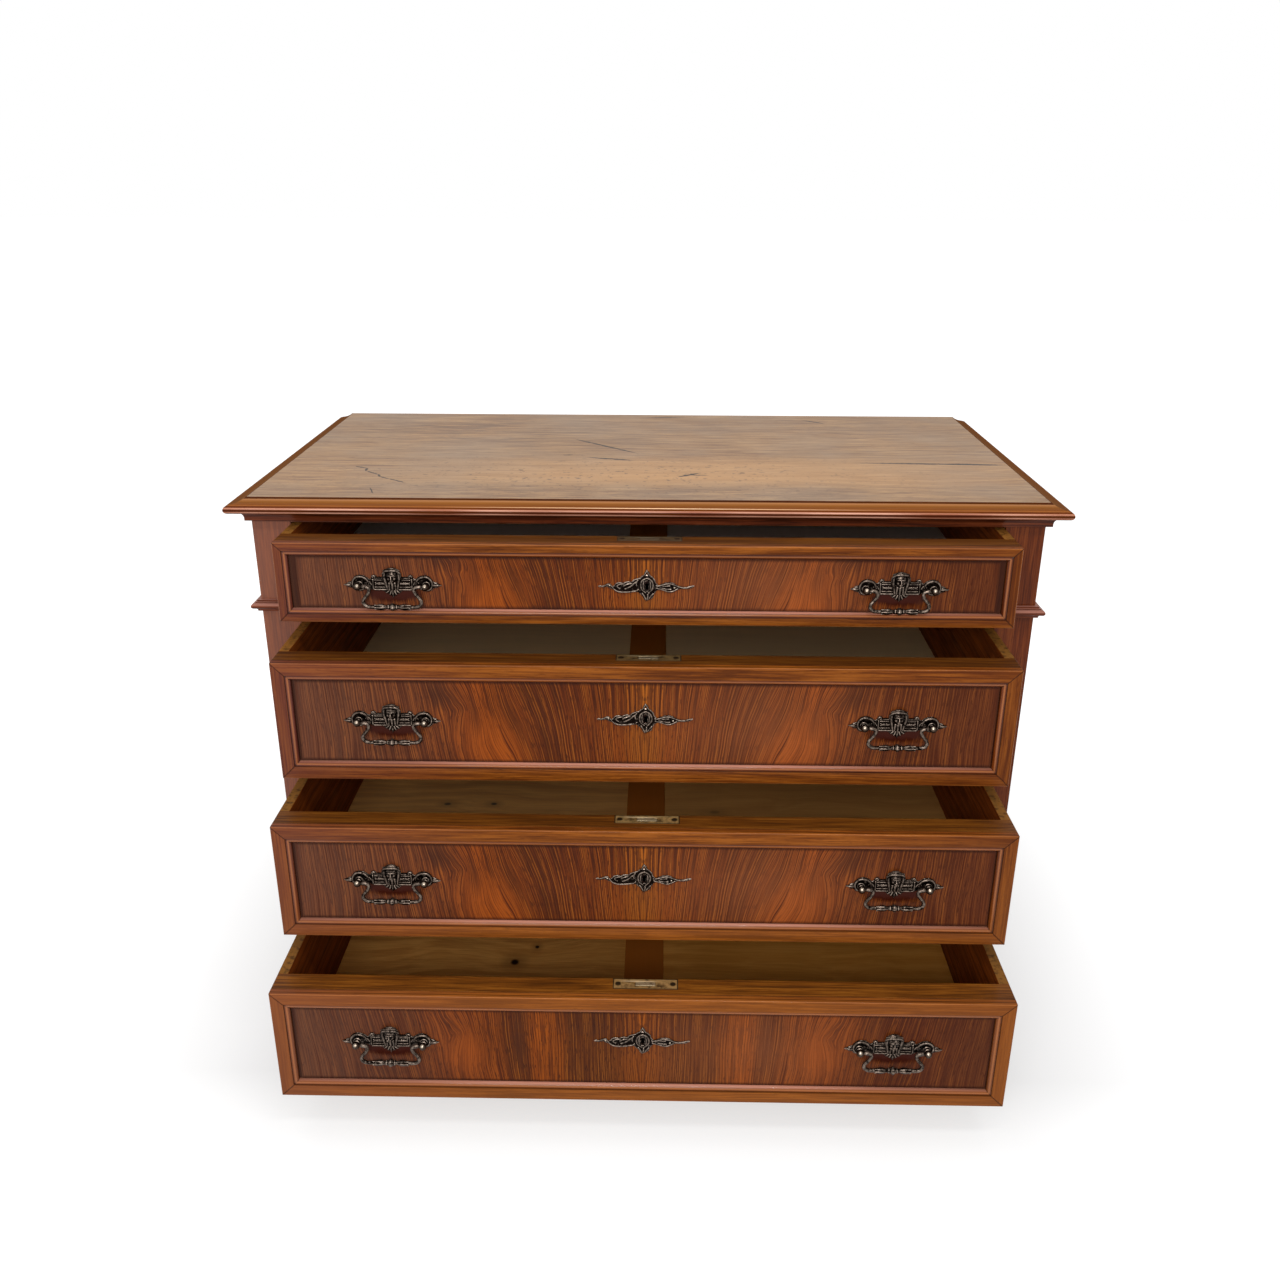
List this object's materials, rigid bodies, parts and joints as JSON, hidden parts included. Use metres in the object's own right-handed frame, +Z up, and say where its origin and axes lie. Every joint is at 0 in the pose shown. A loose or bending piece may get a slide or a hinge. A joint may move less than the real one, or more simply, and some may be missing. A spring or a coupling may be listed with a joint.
{
  "type": "bachelors chest",
  "caption": "Low walnut chest of long drawers with moulded top, mitred drawer frames, swinging bail pulls, pierced escutcheons, till locks and a plain plinth.",
  "frame": {"origin": "centre of the case's footprint, on the floor, under the plinth's middle bearer", "axes": "+X to the right seen from the front, along the drawer fronts; +Y to the back, drawers open towards -Y; +Z up"},
  "size_m": [1.1, 0.8685, 0.81],
  "materials": {
    "walnut": "aged French-polished walnut, straight grain, semi-gloss",
    "walnut_top": "faded walnut top with old scratches and a dry wax finish",
    "walnut_moulding": "polished walnut mouldings, glossy",
    "walnut_veneer": "figured walnut veneer, book-matched, polished",
    "pine": "old pine, oxidised, unpolished",
    "patinated_brass": "cast brass with a dark brown patina, worn bright on the high places",
    "aged_steel": "old steel lock with a dull brown skin"
  },
  "bodies": {
    "case": {"top_board": "walnut_top", "top_edge_moulding": "walnut_moulding", "bed_moulding": "walnut_moulding", "left_side_panel": "walnut", "right_side_panel": "walnut", "left_stile": "walnut", "right_stile": "walnut", "back_panel": "pine", "top_rail": "walnut", "drawer_dividers": "walnut", "case_bottom": "pine", "belt_moulding": "walnut_moulding", "plinth": "walnut_moulding", "runners_and_kickers": "pine", "drawer_guides": "pine", "drawer_stops": "pine"},
    "drawer_1": {"drawer_1_front": "walnut_veneer", "drawer_1_face_frame": "walnut", "drawer_1_sides": "pine", "drawer_1_back": "pine", "drawer_1_bottom": "pine", "drawer_1_lock": "aged_steel", "drawer_1_escutcheon": "patinated_brass", "drawer_1_pull_plates": "patinated_brass"},
    "drawer_1_left_bail_swing": {"drawer_1_left_bail": "patinated_brass"},
    "drawer_1_right_bail_swing": {"drawer_1_right_bail": "patinated_brass"},
    "drawer_1_bolt": {"drawer_1_lock_bolt": "aged_steel"},
    "drawer_2": {"drawer_2_front": "walnut_veneer", "drawer_2_face_frame": "walnut", "drawer_2_sides": "pine", "drawer_2_back": "pine", "drawer_2_bottom": "pine", "drawer_2_lock": "aged_steel", "drawer_2_escutcheon": "patinated_brass", "drawer_2_pull_plates": "patinated_brass"},
    "drawer_2_left_bail_swing": {"drawer_2_left_bail": "patinated_brass"},
    "drawer_2_right_bail_swing": {"drawer_2_right_bail": "patinated_brass"},
    "drawer_2_bolt": {"drawer_2_lock_bolt": "aged_steel"},
    "drawer_3": {"drawer_3_front": "walnut_veneer", "drawer_3_face_frame": "walnut", "drawer_3_sides": "pine", "drawer_3_back": "pine", "drawer_3_bottom": "pine", "drawer_3_lock": "aged_steel", "drawer_3_escutcheon": "patinated_brass", "drawer_3_pull_plates": "patinated_brass"},
    "drawer_3_left_bail_swing": {"drawer_3_left_bail": "patinated_brass"},
    "drawer_3_right_bail_swing": {"drawer_3_right_bail": "patinated_brass"},
    "drawer_3_bolt": {"drawer_3_lock_bolt": "aged_steel"},
    "drawer_4": {"drawer_4_front": "walnut_veneer", "drawer_4_face_frame": "walnut", "drawer_4_sides": "pine", "drawer_4_back": "pine", "drawer_4_bottom": "pine", "drawer_4_lock": "aged_steel", "drawer_4_escutcheon": "patinated_brass", "drawer_4_pull_plates": "patinated_brass"},
    "drawer_4_left_bail_swing": {"drawer_4_left_bail": "patinated_brass"},
    "drawer_4_right_bail_swing": {"drawer_4_right_bail": "patinated_brass"},
    "drawer_4_bolt": {"drawer_4_lock_bolt": "aged_steel"}
  },
  "joints": [
    {"name": "drawer_1_slide", "type": "slide", "parent": "case", "child": "drawer_1", "axis": [0, -1, 0], "range_m": [-0.088, 0.342]},
    {"name": "drawer_1_left_bail_hinge", "type": "hinge", "parent": "drawer_1", "child": "drawer_1_left_bail_swing", "pos_m": [-0.322, -0.3745, 0.7171], "axis": [-1, 0, 0], "range_deg": [-8, 150]},
    {"name": "drawer_1_right_bail_hinge", "type": "hinge", "parent": "drawer_1", "child": "drawer_1_right_bail_swing", "pos_m": [0.322, -0.3745, 0.7171], "axis": [-1, 0, 0], "range_deg": [-8, 150]},
    {"name": "drawer_1_bolt_slide", "type": "slide", "parent": "drawer_1", "child": "drawer_1_bolt", "axis": [0, 0, 1], "range_m": [0, 0.009]},
    {"name": "drawer_2_slide", "type": "slide", "parent": "case", "child": "drawer_2", "axis": [0, -1, 0], "range_m": [-0.148, 0.282]},
    {"name": "drawer_2_left_bail_hinge", "type": "hinge", "parent": "drawer_2", "child": "drawer_2_left_bail_swing", "pos_m": [-0.322, -0.4345, 0.5546], "axis": [-1, 0, 0], "range_deg": [-8, 150]},
    {"name": "drawer_2_right_bail_hinge", "type": "hinge", "parent": "drawer_2", "child": "drawer_2_right_bail_swing", "pos_m": [0.322, -0.4345, 0.5546], "axis": [-1, 0, 0], "range_deg": [-8, 150]},
    {"name": "drawer_2_bolt_slide", "type": "slide", "parent": "drawer_2", "child": "drawer_2_bolt", "axis": [0, 0, 1], "range_m": [0, 0.009]},
    {"name": "drawer_3_slide", "type": "slide", "parent": "case", "child": "drawer_3", "axis": [0, -1, 0], "range_m": [-0.216, 0.214]},
    {"name": "drawer_3_left_bail_hinge", "type": "hinge", "parent": "drawer_3", "child": "drawer_3_left_bail_swing", "pos_m": [-0.322, -0.5025, 0.3601], "axis": [-1, 0, 0], "range_deg": [-8, 150]},
    {"name": "drawer_3_right_bail_hinge", "type": "hinge", "parent": "drawer_3", "child": "drawer_3_right_bail_swing", "pos_m": [0.322, -0.5025, 0.3601], "axis": [-1, 0, 0], "range_deg": [-8, 150]},
    {"name": "drawer_3_bolt_slide", "type": "slide", "parent": "drawer_3", "child": "drawer_3_bolt", "axis": [0, 0, 1], "range_m": [0, 0.009]},
    {"name": "drawer_4_slide", "type": "slide", "parent": "case", "child": "drawer_4", "axis": [0, -1, 0], "range_m": [-0.2935, 0.1365]},
    {"name": "drawer_4_left_bail_hinge", "type": "hinge", "parent": "drawer_4", "child": "drawer_4_left_bail_swing", "pos_m": [-0.322, -0.58, 0.1676], "axis": [-1, 0, 0], "range_deg": [-8, 150]},
    {"name": "drawer_4_right_bail_hinge", "type": "hinge", "parent": "drawer_4", "child": "drawer_4_right_bail_swing", "pos_m": [0.322, -0.58, 0.1676], "axis": [-1, 0, 0], "range_deg": [-8, 150]},
    {"name": "drawer_4_bolt_slide", "type": "slide", "parent": "drawer_4", "child": "drawer_4_bolt", "axis": [0, 0, 1], "range_m": [0, 0.009]}
  ]
}
